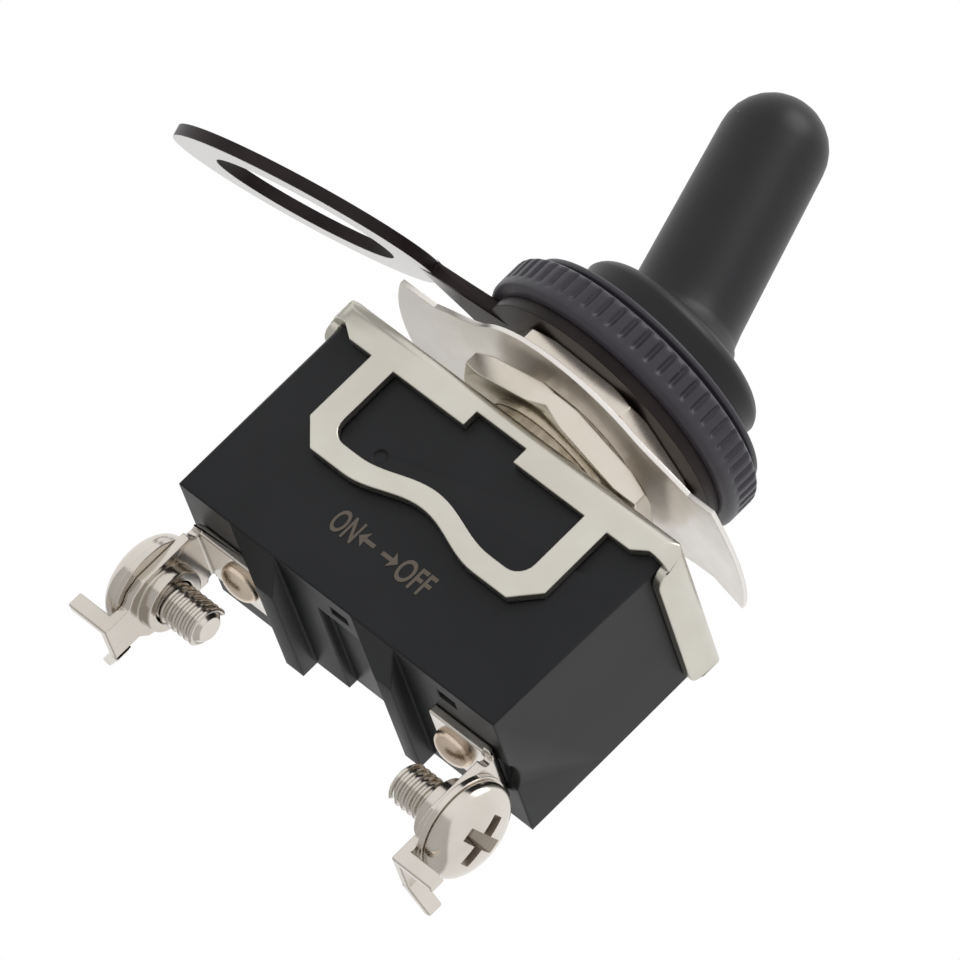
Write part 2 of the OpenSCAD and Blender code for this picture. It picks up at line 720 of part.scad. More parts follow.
// common strap: along the floor from the left rivet and up into a knife edge
module fulcrum_strap() color([0.80, 0.58, 0.36]) {
    floor_z = cavity_floor_z;
    edge_z = fulcrum_z - 0.05;
    rise = edge_z - floor_z;
    foot_half = 3.2;
    skin = strap_t * sqrt(pow(rise, 2) + pow(foot_half, 2)) / foot_half;
    left = rivet_x + 2.4;
    difference() {
        along_y(strap_w) polygon([[-left, floor_z], [-foot_half + strap_t * 0.4, floor_z], [0, edge_z - skin],
            [foot_half - strap_t * 0.4, floor_z], [foot_half + 0.7, floor_z], [0, edge_z],
            [-foot_half - 0.7 + strap_t, floor_z + strap_t], [-left, floor_z + strap_t]]);
        translate([-rivet_x, 0, floor_z - 1]) cylinder(r = rivet_r + run_gap, h = 4);
    }
}

// side strap: a foot under the right rivet, a leg, and a shelf for its button
module fixed_strap() color([0.80, 0.58, 0.36]) {
    floor_z = cavity_floor_z;
    shelf_z = closed_z - button_t;
    back_x = rivet_x + 2.7;
    foot_x = rivet_x - 2.2;
    front_x = closed_x - button_d / 2 - 0.3;
    difference() {
        along_y(strap_w) polygon([[foot_x, floor_z], [back_x, floor_z], [back_x, shelf_z], [front_x, shelf_z],
            [front_x, shelf_z - strap_t], [back_x - strap_t, shelf_z - strap_t],
            [back_x - strap_t, floor_z + strap_t], [foot_x, floor_z + strap_t]]);
        translate([rivet_x, 0, floor_z - 1]) cylinder(r = rivet_r + run_gap, h = 1 + strap_t + 0.5);
    }
}

module fixed_contact() color([0.88, 0.88, 0.86])
    translate([closed_x, 0, closed_z - button_t]) cylinder(d = button_d, h = button_t);

// ---------- terminals ----------

// seen from the end: full width down past the screw, then a narrow tongue
module terminal_outline() {
    hw = term_wid / 2;
    shoulder_z = term_end_z + tongue_ht;
    polygon(mirrored([[hw, case_foot_z + 1], [hw, screw_z - 1.2], [hw - 0.5, shoulder_z + 0.4],
        [tongue_w / 2 + 0.3, shoulder_z], [tongue_w / 2, shoulder_z - 0.3], [tongue_w / 2, term_end_z]]));
}

// right-hand terminal: strap under the case, bend, plate, thread collar, guards
module terminal() {
    inner_x = term_x - term_t;
    bend_r = 1;
    strap_end = rivet_x - strap_edge;
    collar_r = screw_d / 2 + 0.9;
    collar_len = 1.1;
    guard_z = term_end_z;
    difference() {
        union() {
            intersection() {
                along_y(big) polygon(concat([[strap_end, case_foot_z]],
                    arc(term_x - bend_r, case_foot_z - bend_r, bend_r, 90, 0, 6),
                    [[term_x, term_end_z], [inner_x, term_end_z]],
                    arc(term_x - bend_r, case_foot_z - bend_r, bend_r - term_t, 0, 90, 4),
                    [[strap_end, term_foot_z]]));
                along_x(0, big) terminal_outline();
            }
            // collar drawn inwards for the thread
            translate([inner_x - collar_len, 0, screw_z]) rotate([0, 90, 0]) cylinder(r = collar_r, h = collar_len + 0.1);
            // the wire guards: one bent square, one half open
            translate([term_x - term_t, -tongue_w / 2, guard_z]) cube([guard_len + term_t, term_t, guard_ht]);
            translate([term_x, tongue_w / 2, guard_z]) rotate([0, 0, -33 + 90])
                translate([-0.4, 0, 0]) cube([guard_len, term_t, guard_ht]);
        }
        translate([0, 0, screw_z]) rotate([0, 90, 0]) cylinder(d = screw_d + 2 * run_gap, h = big);
        translate([rivet_x, 0, term_foot_z - 1]) cylinder(r = rivet_r + run_gap, h = 3);
        // relief notches at the foot of the bend
        for (side = [-1, 1]) translate([inner_x - 0.2, side * term_wid / 2, case_foot_z - bend_r])
            rotate([0, 90, 0]) cylinder(r = 0.45, h = term_t + 1);
    }
}

module to_side(side) {
    if (side < 0) mirror([1, 0, 0]) children();
    else children();
}

module terminal_left() color([0.78, 0.74, 0.69]) to_side(-1) terminal();
module terminal_right() color([0.78, 0.74, 0.69]) to_side(1) terminal();

// domed head below, shank through strap, case and inner strap, closed inside
module terminal_rivet() {
    foot = term_foot_z;
    inside = cavity_floor_z + strap_t;
    translate([rivet_x, 0, 0]) rotate_extrude() polygon(concat([[0, foot - rivet_head_t]],
        [for (i = [1:6]) let (a = 90 * i / 6) [rivet_head_r * sin(a), foot - rivet_head_t * cos(a)]],
        [[rivet_r, foot], [rivet_r, inside], [rivet_r + 0.6, inside], [rivet_r + 0.5, inside + inner_head_t],
            [0, inside + inner_head_t]]));
}

module terminal_rivet_left() color([0.80, 0.68, 0.50]) to_side(-1) terminal_rivet();
module terminal_rivet_right() color([0.80, 0.68, 0.50]) to_side(1) terminal_rivet();

module screw_washer() {
    translate([term_x, 0, screw_z]) rotate([0, 90, 0]) difference() {
        cylinder(r = washer_r, h = washer_t);
        translate([0, 0, -1]) cylinder(d = screw_d + 2 * run_gap, h = washer_t + 2);
    }
}

module screw_washer_left() color([0.78, 0.74, 0.69]) to_side(-1) screw_washer();
module screw_washer_right() color([0.78, 0.74, 0.69]) to_side(1) screw_washer();

// pan head with a cross recess, on a plain shank
module terminal_screw() {
    r = screw_head_d / 2;
    slot_w = 1.1;
    slot_len = 4.8;
    slot_depth = 1.1;
    translate([head_x, 0, screw_z]) rotate([0, 90, 0]) difference() {
        rotate_extrude() polygon(concat([[0, -screw_len], [screw_d / 2 - 0.4, -screw_len],
            [screw_d / 2, 0.4 - screw_len], [screw_d / 2, 0], [r, 0], [r, screw_head_t * 0.4]],
            [for (i = [1:6]) let (a = 90 * i / 6)
                [r * (1 - 0.3 * (1 - cos(a))) - r * 0.7 * (i == 6 ? 1 : 0), screw_head_t * (0.4 + 0.6 * sin(a))]]));
        for (turn = [25, 115]) rotate(turn) translate([-slot_len / 2, -slot_w / 2, screw_head_t - slot_depth])
            cube([slot_len, slot_w, slot_depth + 1]);
    }
}

module terminal_screw_left() color([0.80, 0.77, 0.72]) to_side(-1) terminal_screw();
module terminal_screw_right() color([0.80, 0.77, 0.72]) to_side(1) terminal_screw();

// ---------- the nodes ----------

case();
bracket();
bushing();
pivot_pin();
insulator_card();
hex_nut_lower();
wing_plate();
hex_nut_upper();
ring_plate();
boot();
boot_nut();
lever();
plunger();
plunger_spring();
rocker();
moving_contact();
fulcrum_strap();
fixed_strap();
fixed_contact();
terminal_left();
terminal_right();
terminal_rivet_left();
terminal_rivet_right();
screw_washer_left();
screw_washer_right();
terminal_screw_left();
terminal_screw_right();
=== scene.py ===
import json
import math

import bmesh
import bpy
from mathutils import Matrix, Vector

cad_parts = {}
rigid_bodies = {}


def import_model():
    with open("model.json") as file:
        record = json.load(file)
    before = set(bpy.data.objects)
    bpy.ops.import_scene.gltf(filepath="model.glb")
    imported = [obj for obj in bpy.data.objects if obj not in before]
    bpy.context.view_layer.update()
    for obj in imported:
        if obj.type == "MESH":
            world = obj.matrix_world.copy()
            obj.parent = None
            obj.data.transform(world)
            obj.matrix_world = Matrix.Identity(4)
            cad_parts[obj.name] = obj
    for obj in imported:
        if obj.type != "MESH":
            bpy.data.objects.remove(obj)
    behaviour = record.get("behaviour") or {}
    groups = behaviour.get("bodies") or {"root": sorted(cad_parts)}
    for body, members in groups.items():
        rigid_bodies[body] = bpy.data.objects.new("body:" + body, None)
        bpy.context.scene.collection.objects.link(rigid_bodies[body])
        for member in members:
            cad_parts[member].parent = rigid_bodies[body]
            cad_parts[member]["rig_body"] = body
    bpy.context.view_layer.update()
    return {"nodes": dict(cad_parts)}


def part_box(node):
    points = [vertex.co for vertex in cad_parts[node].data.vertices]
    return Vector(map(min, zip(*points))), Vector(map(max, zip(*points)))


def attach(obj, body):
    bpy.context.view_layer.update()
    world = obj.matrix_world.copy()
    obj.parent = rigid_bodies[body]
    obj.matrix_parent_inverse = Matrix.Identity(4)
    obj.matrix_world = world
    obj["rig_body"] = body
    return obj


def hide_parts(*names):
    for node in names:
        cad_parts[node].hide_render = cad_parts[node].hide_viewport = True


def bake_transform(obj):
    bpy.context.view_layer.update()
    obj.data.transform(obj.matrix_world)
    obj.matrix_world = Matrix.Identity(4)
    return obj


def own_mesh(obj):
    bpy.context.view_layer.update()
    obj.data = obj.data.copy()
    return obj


mm = 0.001
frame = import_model()
print("frame loaded,", len(frame["nodes"]), "nodes")


def linearColor(hexText):
    # sRGB hex to the linear colour that a shader takes
    parts = [int(hexText[i:i + 2], 16) / 255 for i in (1, 3, 5)]
    return [p / 12.92 if p <= 0.04045 else ((p + 0.055) / 1.055) ** 2.4 for p in parts] + [1.0]


def addNode(tree, kind, inputs=None, **settings):
    # a node with its settings; each input takes a value or another node's output
    node = tree.nodes.new(kind)
    for key, value in settings.items():
        setattr(node, key, value)
    for key, value in (inputs or {}).items():
        if isinstance(value, bpy.types.NodeSocket):
            tree.links.new(value, node.inputs[key])
        else:
            node.inputs[key].default_value = value
    return node


def newMaterial(name, **values):
    # a Principled material with plain values; patterns are linked in afterwards
    material = bpy.data.materials.new(name)
    material.use_nodes = True
    tree = material.node_tree
    shader = tree.nodes["Principled BSDF"]
    for key, value in values.items():
        shader.inputs[key].default_value = value
    return material, tree, shader


def mottledTone(tree, size, detail, dark, light, spread=0.2, distortion=0.0):
    # a tone that drifts between two colours in clouds of a size; gives the coordinates, the
    # clouds and the tone
    coords = addNode(tree, "ShaderNodeTexCoord")
    cloud = addNode(tree, "ShaderNodeTexNoise", {
        "Vector": coords.outputs["Object"], "Scale": 1 / size, "Detail": detail,
        "Distortion": distortion})
    share = addNode(tree, "ShaderNodeMapRange", {
        "Value": cloud.outputs["Fac"], "From Min": 0.5 - spread, "From Max": 0.5 + spread})
    tone = addNode(tree, "ShaderNodeMix", {
        "Factor": share.outputs["Result"], "A": linearColor(dark), "B": linearColor(light)},
        data_type="RGBA")
    return coords, cloud.outputs["Fac"], tone.outputs["Result"]


def breakEdges(tree, shader, radius, bump=None):
    # shades sharp edges as if they were broken by radius, under an optional bump
    soft = addNode(tree, "ShaderNodeBevel", {"Radius": radius}, samples=4)
    if bump is None:
        tree.links.new(soft.outputs["Normal"], shader.inputs["Normal"])
    else:
        tree.links.new(soft.outputs["Normal"], bump.inputs["Normal"])
        tree.links.new(bump.outputs["Normal"], shader.inputs["Normal"])


# materials

def platedSheet(name, dark, light, roughness, grain, grainDepth):
    # plated sheet or bar: an even, slightly warm metal with a fine matt grain
    material, tree, shader = newMaterial(name, Metallic=1.0, Roughness=roughness)
    coords, _, tone = mottledTone(tree, 6 * mm, 3.0, dark, light)
    tree.links.new(tone, shader.inputs["Base Color"])
    fine = addNode(tree, "ShaderNodeTexNoise", {
        "Vector": coords.outputs["Object"], "Scale": 1 / grain, "Detail": 4.0})
    gloss = addNode(tree, "ShaderNodeMapRange", {
        "Value": fine.outputs["Fac"], "To Min": roughness - 0.05, "To Max": roughness + 0.07})
    tree.links.new(gloss.outputs["Result"], shader.inputs["Roughness"])
    bump = addNode(tree, "ShaderNodeBump", {
        "Height": fine.outputs["Fac"], "Strength": 0.35, "Distance": grainDepth})
    breakEdges(tree, shader, 0.12 * mm, bump)
    return material


def mouldedPlastic():
    # glass-filled nylon, moulded: near black with a soft sheen and faint flow marks
    material, tree, shader = newMaterial("mouldedNylon", Roughness=0.4, IOR=1.5)
    shader.inputs["Specular IOR Level"].default_value = 0.26
    coords, flow, tone = mottledTone(tree, 5 * mm, 4.0, "#121316", "#1a1b1e", 0.25, 0.6)
    tree.links.new(tone, shader.inputs["Base Color"])
    gloss = addNode(tree, "ShaderNodeMapRange", {"Value": flow, "To Min": 0.36, "To Max": 0.47})
    tree.links.new(gloss.outputs["Result"], shader.inputs["Roughness"])
    grit = addNode(tree, "ShaderNodeTexNoise", {
        "Vector": coords.outputs["Object"], "Scale": 1 / (0.35 * mm), "Detail": 2.0})
    bump = addNode(tree, "ShaderNodeBump", {
        "Height": grit.outputs["Fac"], "Strength": 0.25, "Distance": 0.006 * mm})
    breakEdges(tree, shader, 0.3 * mm, bump)
    return material


def siliconeRubber(name, dark, light):
    # moulded rubber: a broad dull sheen, with a few specks of dust that it holds
    material, tree, shader = newMaterial(name, Roughness=0.4, IOR=1.45)
    shader.inputs["Specular IOR Level"].default_value = 0.42
    coords, _, tone = mottledTone(tree, 4 * mm, 5.0, dark, light)
    point = coords.outputs["Object"]
    cells = addNode(tree, "ShaderNodeTexVoronoi", {
        "Vector": point, "Scale": 1 / (2.6 * mm), "Randomness": 1.0})
    speck = addNode(tree, "ShaderNodeMath", {0: cells.outputs["Distance"], 1: 0.045},
                    operation="LESS_THAN")
    tint = addNode(tree, "ShaderNodeSeparateColor", {"Color": cells.outputs["Color"]})
    chosen = addNode(tree, "ShaderNodeMath", {0: tint.outputs["Red"], 1: 0.8},
                     operation="GREATER_THAN")
    dust = addNode(tree, "ShaderNodeMath", {0: speck.outputs[0], 1: chosen.outputs[0]},
                   operation="MULTIPLY")
    mix = addNode(tree, "ShaderNodeMix", {
        "Factor": dust.outputs[0], "A": tone, "B": linearColor("#a9aaa6")}, data_type="RGBA")
    tree.links.new(mix.outputs["Result"], shader.inputs["Base Color"])
    grit = addNode(tree, "ShaderNodeTexNoise", {
        "Vector": point, "Scale": 1 / (0.3 * mm), "Detail": 3.0})
    bump = addNode(tree, "ShaderNodeBump", {
        "Height": grit.outputs["Fac"], "Strength": 0.3, "Distance": 0.006 * mm})
    breakEdges(tree, shader, 0.08 * mm, bump)
    return material


def blackedPlate():
    # phosphated steel ring: black, with the underside of its free end pale bare metal; nearer the
    # collar the underside stays black, partly the plate's black and partly painted shade under
    # the collar
    material, tree, shader = newMaterial("blackedSteel")
    shader.inputs["Specular IOR Level"].default_value = 0.18
    coords, cloud, black = mottledTone(tree, 3 * mm, 4.0, "#1f1718", "#33292a")
    pale = mottledTone(tree, 3 * mm, 4.0, "#dddcdb", "#e8e7e6")[2]
    facing = addNode(tree, "ShaderNodeSeparateXYZ", {"Vector": coords.outputs["Normal"]})
    under = addNode(tree, "ShaderNodeMath", {0: facing.outputs["Z"], 1: -0.7},
                    operation="LESS_THAN")
    place = addNode(tree, "ShaderNodeSeparateXYZ", {"Vector": coords.outputs["Object"]})
    level = addNode(tree, "ShaderNodeCombineXYZ", {
        "X": place.outputs["X"], "Y": place.outputs["Y"]})
    reach = addNode(tree, "ShaderNodeVectorMath", {0: level.outputs[0]}, operation="LENGTH")
    # the pale underside starts only past 13.5 mm: the black inside that is partly painted shade
    # under the collar
    bareBeyondShade = addNode(tree, "ShaderNodeMapRange", {
        "Value": reach.outputs["Value"], "From Min": 13.5 * mm, "From Max": 17 * mm})
    below = addNode(tree, "ShaderNodeMath", {0: under.outputs[0], 1: bareBeyondShade.outputs["Result"]},
                    operation="MULTIPLY")
    mix = addNode(tree, "ShaderNodeMix", {"Factor": below.outputs[0], "A": black, "B": pale},
                  data_type="RGBA")
    tree.links.new(mix.outputs["Result"], shader.inputs["Base Color"])
    tree.links.new(below.outputs[0], shader.inputs["Metallic"])
    gloss = addNode(tree, "ShaderNodeMapRange", {"Value": cloud, "To Min": 0.34, "To Max": 0.46})
    tree.links.new(gloss.outputs["Result"], shader.inputs["Roughness"])
    breakEdges(tree, shader, 0.08 * mm)
    return material


def plainFinish(name, color, roughness, metallic=0.0, mottle=0.12):
    # ink, the recess's painted shade and pieces inside the case: one tone with a little mottling
    material, tree, shader = newMaterial(name, Metallic=metallic, Roughness=roughness)
    coords = addNode(tree, "ShaderNodeTexCoord")
    cloud = addNode(tree, "ShaderNodeTexNoise", {
        "Vector": coords.outputs["Object"], "Scale": 1 / (1.5 * mm), "Detail": 3.0})
    tone = addNode(tree, "ShaderNodeMapRange", {
        "Value": cloud.outputs["Fac"], "To Min": 1 - mottle, "To Max": 1 + mottle})
    scaled = addNode(tree, "ShaderNodeVectorMath", {
        0: linearColor(color)[:3], "Scale": tone.outputs["Result"]}, operation="SCALE")
    tree.links.new(scaled.outputs["Vector"], shader.inputs["Base Color"])
    return material


# a plated finish has its dark and light tones, roughness, grain's size and grain's depth,
# a plain one its tone, roughness, metallic share and mottling
finish = {
    "case": mouldedPlastic(),
    "nickel": platedSheet("nickelPlatedSteel", "#c8c4b9", "#d2cfc5", 0.3, 0.5 * mm, 0.0015 * mm),
    "turned": platedSheet("nickelPlatedBrass", "#cfc7b9", "#dcd3c8", 0.2, 0.6 * mm, 0.001 * mm),
    "spring": platedSheet("brightSpringSteel", "#dfdad4", "#e9e5e0", 0.3, 1.6 * mm, 0.0002 * mm),
    "terminal": platedSheet("tinnedBrass", "#cbc4bb", "#dbd5cd", 0.17, 0.6 * mm, 0.0015 * mm),
    "rivet": platedSheet("copperRivet", "#d2bda9", "#e0d0bf", 0.26, 0.6 * mm, 0.0015 * mm),
    "rubber": siliconeRubber("mouldedRubber", "#0d0d10", "#151519"),
    # the collar is the sleeve's black rubber painted lighter: painted sheen and painted
    # reflection of the bright nuts below
    "collarRubberPaintedSheen": siliconeRubber("collarRubberPaintedSheen", "#3c3940", "#47444b"),
    "blacked": blackedPlate(),
    "card": plainFinish("pressedBoard", "#7a4f2c", 0.7),
    "nylon": plainFinish("naturalNylon", "#d9d3c0", 0.45, mottle=0.04),
    # the recess walls: the same plating painted darker, as painted shade in the driver recess
    "recess": plainFinish("platedRecessPaintedShade", "#a0968b", 0.4, 1.0, 0.1),
    "steel": plainFinish("groundSteel", "#b9b9bb", 0.25, 1.0, 0.05),
    "copper": plainFinish("rolledCopper", "#c4824f", 0.28, 1.0, 0.08),
    "silver": plainFinish("silverContact", "#dcdcd8", 0.22, 1.0, 0.05),
    "ink": plainFinish("padPrintInk", "#6b6258", 0.6),
}
print("materials made:", len(finish))


# pieces from the frame's nodes

def link(piece):
    bpy.context.scene.collection.objects.link(piece)
    return piece


def mergedMesh(nodeName, flatAngle=0.6):
    # a node's loose triangles as one closed mesh with whole flat faces
    mesh = bmesh.new()
    mesh.from_mesh(frame["nodes"][nodeName].data)
    bmesh.ops.remove_doubles(mesh, verts=mesh.verts, dist=0.003 * mm)
    bmesh.ops.dissolve_degenerate(mesh, edges=mesh.edges, dist=0.002 * mm)
    bmesh.ops.dissolve_limit(
        mesh, angle_limit=math.radians(flatAngle), verts=mesh.verts, edges=mesh.edges)
    bmesh.ops.recalc_face_normals(mesh, faces=mesh.faces)
    return mesh


def meshData(mesh, name):
    # ends a mesh under construction and gives its data
    data = bpy.data.meshes.new(name)
    mesh.to_mesh(data)
    mesh.free()
    return data


def evaluatedData(piece):
    # the piece's shape as its modifiers make it, as mesh data of its own
    bpy.context.view_layer.update()
    result = piece.evaluated_get(bpy.context.evaluated_depsgraph_get())
    return bpy.data.meshes.new_from_object(result)


def smoothData(data, angle):
    # shades smooth all that meets at less than an angle
    data.shade_smooth()
    data.set_sharp_from_angle(angle=math.radians(angle))


def finishMesh(mesh, name, material, smoothAngle=30):
    # an object in one material from a mesh under construction
    data = meshData(mesh, name)
    data.materials.append(material)
    smoothData(data, smoothAngle)
    return link(bpy.data.objects.new(name, data))


def dressNode(nodeName, pieceName, material, width):
    # the node's shape again, with its edges broken by a width in mm
    piece = finishMesh(mergedMesh(nodeName), pieceName, material)
    bevel = piece.modifiers.new("brokenEdges", "BEVEL")
    bevel.width = width * mm
    bevel.segments = 2
    bevel.limit_method = "ANGLE"
    bevel.angle_limit = math.radians(32)
    bevel.harden_normals = True
    # the case's small marks and notches leave its bevel little room
    bevel.use_clamp_overlap = nodeName == "case"
    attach(piece, frame["nodes"][nodeName]["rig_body"])
    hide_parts(nodeName)


# node: piece, finish, material slot, width of its broken edges
dressed = {
    "case": ("caseBody", "case", "case_plastic", 0.24),
    "bracket": ("bracketSheet", "nickel", "nickel", 0.1),
    "hex_nut_lower": ("panelNutLower", "turned", "nickel", 0.1),
    "hex_nut_upper": ("panelNutUpper", "turned", "nickel", 0.1),
    "ring_plate": ("ringPlate", "blacked", "black_plate", 0.06),
    "terminal_left": ("terminalLeft", "terminal", "terminal", 0.14),
    "terminal_right": ("terminalRight", "terminal", "terminal", 0.14),
    "screw_washer_left": ("screwWasherLeft", "terminal", "terminal", 0.06),
    "screw_washer_right": ("screwWasherRight", "terminal", "terminal", 0.06),
}
for nodeName, (pieceName, key, slot, width) in dressed.items():
    dressNode(nodeName, pieceName, finish[key], width)

# pieces shut inside keep the frame's own mesh
inside = {
    "pivot_pin": "steel", "insulator_card": "card", "boot_nut": "turned", "lever": "turned",
    "plunger": "nylon", "rocker": "copper", "moving_contact": "silver",
    "fulcrum_strap": "copper", "fixed_strap": "copper", "fixed_contact": "silver",
}
for nodeName, key in inside.items():
    materials = frame["nodes"][nodeName].data.materials
    materials.clear()
    materials.append(finish[key])
print("frame nodes dressed")


# geometry node trees

def newTree(name, sockets):
    # a tree with a geometry in and out and the named inputs in sockets
    tree = bpy.data.node_groups.new(name, "GeometryNodeTree")
    for way in ("OUTPUT", "INPUT"):
        tree.interface.new_socket(name="Geometry", in_out=way, socket_type="NodeSocketGeometry")
    kinds = {float: "NodeSocketFloat", int: "NodeSocketInt"}
    for label, value in sockets.items():
        socket = tree.interface.new_socket(
            name=label, in_out="INPUT", socket_type=kinds[type(value)])
        socket.default_value = value
    tree.interface.new_socket(name="Material", in_out="INPUT", socket_type="NodeSocketMaterial")
    return tree, addNode(tree, "NodeGroupInput").outputs


def closeTree(tree, geometry, given):
    # ends a tree in real geometry with the given material
    real = addNode(tree, "GeometryNodeRealizeInstances", {"Geometry": geometry})
    painted = addNode(tree, "GeometryNodeSetMaterial", {
        "Geometry": real.outputs[0], "Material": given["Material"]})
    addNode(tree, "NodeGroupOutput", {0: painted.outputs[0]})


def runTree(piece, tree, values):
    # runs the tree on the piece and keeps the result as a plain mesh
    modifier = piece.modifiers.new(tree.name, "NODES")
    modifier.node_group = tree
    identifiers = {item.name: item.identifier for item in tree.interface.items_tree
                   if item.item_type == "SOCKET" and item.in_out == "INPUT"}
    for label, value in values.items():
        modifier[identifiers[label]] = value
    data = evaluatedData(piece)
    piece.modifiers.remove(modifier)
    piece.data = data


def threadTree():
    # one helical ridge on a straight core, along +Z from the foot
    tree, given = newTree("screwThread", {
        "Outer Radius": 1.0, "Pitch": 0.5, "Length": 5.0, "Ridge": 0.3})
    turns = addNode(tree, "ShaderNodeMath", {0: given["Length"], 1: given["Pitch"]},
                    operation="DIVIDE").outputs[0]
    core = addNode(tree, "ShaderNodeMath", {0: given["Outer Radius"], 1: given["Ridge"]},
                   operation="SUBTRACT").outputs[0]
    path = addNode(tree, "GeometryNodeCurveSpiral", {
        "Resolution": 48, "Rotations": turns, "Start Radius": core, "End Radius": core,
        "Height": given["Length"]})
    upright = addNode(tree, "GeometryNodeSetCurveNormal", {"Curve": path.outputs[0]}, mode="Z_UP")
    profile = addNode(tree, "GeometryNodeCurvePrimitiveCircle", {
        "Resolution": 4, "Radius": given["Ridge"]})
    ridge = addNode(tree, "GeometryNodeCurveToMesh", {
        "Curve": upright.outputs[0], "Profile Curve": profile.outputs[0], "Fill Caps": True})
    join = addNode(tree, "GeometryNodeJoinGeometry")
    tree.links.new(ridge.outputs[0], join.inputs[0])
    tree.links.new(given["Geometry"], join.inputs[0])
    closeTree(tree, join.outputs[0], given)
    return tree


def grooveTree():
    # presses evenly spaced upright grooves into a round band about the Z axis
    tree, given = newTree("collarGrooves", {
        "Count": 54, "Width": 0.4, "Depth": 0.4, "Softness": 0.2, "Fade": 0.4, "Middle": 0.0,
        "Half Height": 1.0, "Least Radius": 1.0})
    place = addNode(tree, "GeometryNodeInputPosition")
    split = addNode(tree, "ShaderNodeSeparateXYZ", {"Vector": place.outputs[0]}).outputs
    flat = addNode(tree, "ShaderNodeCombineXYZ", {"X": split["X"], "Y": split["Y"]}).outputs[0]
    radius = addNode(tree, "ShaderNodeVectorMath", {0: flat}, operation="LENGTH").outputs["Value"]
    outward = addNode(tree, "ShaderNodeVectorMath", {0: flat}, operation="NORMALIZE").outputs[0]
    # each step is named for its result and takes values, sockets or earlier steps
    steps = (
        ("turn", "ARCTAN2", split["Y"], split["X"]),
        ("turned", "MULTIPLY", "turn", given["Count"]),
        ("share", "DIVIDE", "turned", 2 * math.pi),
        ("within", "FRACT", "share", 0.0),
        ("off", "SUBTRACT", "within", 0.5),
        ("fromGroove", "ABSOLUTE", "off", 0.0),
        ("around", "MULTIPLY", radius, 2 * math.pi),
        ("pitch", "DIVIDE", "around", given["Count"]),
        ("aside", "MULTIPLY", "fromGroove", "pitch"),
        ("halfWidth", "MULTIPLY", given["Width"], 0.5),
        ("lip", "ADD", "halfWidth", given["Softness"]),
        ("fromMiddle", "SUBTRACT", split["Z"], given["Middle"]),
        ("upDown", "ABSOLUTE", "fromMiddle", 0.0),
        ("end", "ADD", given["Half Height"], given["Fade"]),
        ("outer", "GREATER_THAN", radius, given["Least Radius"]),
        ("deepest", "MULTIPLY", "outer", given["Depth"]),
        ("inward", "MULTIPLY", "deepest", -1.0),
    )
    made = {}
    for name, operation, a, b in steps:
        inputs = {0: made.get(a, a), 1: made.get(b, b)}
        made[name] = addNode(tree, "ShaderNodeMath", inputs, operation=operation).outputs[0]
    across = addNode(tree, "ShaderNodeMapRange", {
        "Value": made["aside"], "From Min": made["halfWidth"], "From Max": made["lip"],
        "To Min": 1.0, "To Max": 0.0}, interpolation_type="SMOOTHSTEP")
    along = addNode(tree, "ShaderNodeMapRange", {
        "Value": made["upDown"], "From Min": given["Half Height"], "From Max": made["end"],
        "To Min": 1.0, "To Max": 0.0}, interpolation_type="SMOOTHSTEP")
    pressed = addNode(tree, "ShaderNodeMath", {
        0: across.outputs["Result"], 1: along.outputs["Result"]}, operation="MULTIPLY")
    depth = addNode(tree, "ShaderNodeMath", {0: pressed.outputs[0], 1: made["inward"]},
                    operation="MULTIPLY")
    offset = addNode(tree, "ShaderNodeVectorMath", {0: outward, "Scale": depth.outputs[0]},
                     operation="SCALE")
    moved = addNode(tree, "GeometryNodeSetPosition", {
        "Geometry": given["Geometry"], "Offset": offset.outputs["Vector"]})
    closeTree(tree, moved.outputs[0], given)
    return tree


# skins over rings of points

def loopMesh(loops, closed=True):
    # quads between loops of points that run alike; a loop of one point is a pole
    mesh = bmesh.new()
    columns = max(len(loop) for loop in loops)
    loops = [[mesh.verts.new(point) for point in loop] for loop in loops]
    pairs = list(zip(loops, loops[1:])) + ([(loops[-1], loops[0])] if closed else [])
    for low, high in pairs:
        for i in range(columns):
            j = (i + 1) % columns
            corners = [low[i % len(low)], low[j % len(low)],
                       high[j % len(high)], high[i % len(high)]]
            unique = list(dict.fromkeys(corners))
            if len(unique) > 2:
                mesh.faces.new(unique)
    bmesh.ops.recalc_face_normals(mesh, faces=mesh.faces)
    return mesh


def ringMesh(rings, columns, closed=True):
    # a skin over rings, each (centre, axis, radius); a radius of 0 is a pole
    loops = []
    for centre, axis, radius in rings:
        turn = Vector((0, 0, 1)).rotation_difference(axis)
        if radius <= 0:
            loops.append([centre])
        else:
            loops.append([centre + turn @ Vector((radius * math.cos(a), radius * math.sin(a), 0))
                          for a in (2 * math.pi * i / columns for i in range(columns))])
    return loopMesh(loops, closed)


def lathe(points, columns, closed=True):
    # revolves (radius, height) points in mm about the Z axis
    upright = Vector((0, 0, 1))
    rings = [(Vector((0, 0, h * mm)), upright, r * mm) for r, h in points]
    return ringMesh(rings, columns, closed)


def arcPoints(centre, radius, start, end, steps):
    # points on an arc from start to end, in degrees
    return [(centre[0] + radius * math.cos(a), centre[1] + radius * math.sin(a))
            for a in (math.radians(start + (end - start) * i / steps) for i in range(steps + 1))]


# wing plate

wing = {
    "bore": 6.03, "disc": 11.0, "tip": 17.3, "root": 14.6, "halfAngle": 22.5, "fillet": 46.0,
    "flat": 8.0, "curl": 1.6, "thickness": 0.4, "slack": 0.01, "rows": 12, "columns": 288,
}
lowWing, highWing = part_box("wing_plate")
wing["top"] = highWing.z / mm
wing["droop"] = wing["top"] - lowWing.z / mm - wing["thickness"]


def wingReach(angle):
    # the outline's radius: a disc, two wings with sharp tips, and a hollow curve between
    off = abs((angle + 90) % 180 - 90)
    if off <= wing["halfAngle"] + wing["slack"]:
        return wing["tip"]
    left = max(0.0, 1 - (off - wing["halfAngle"]) / (wing["fillet"] - wing["halfAngle"]))
    return wing["disc"] + (wing["root"] - wing["disc"]) * left ** 2


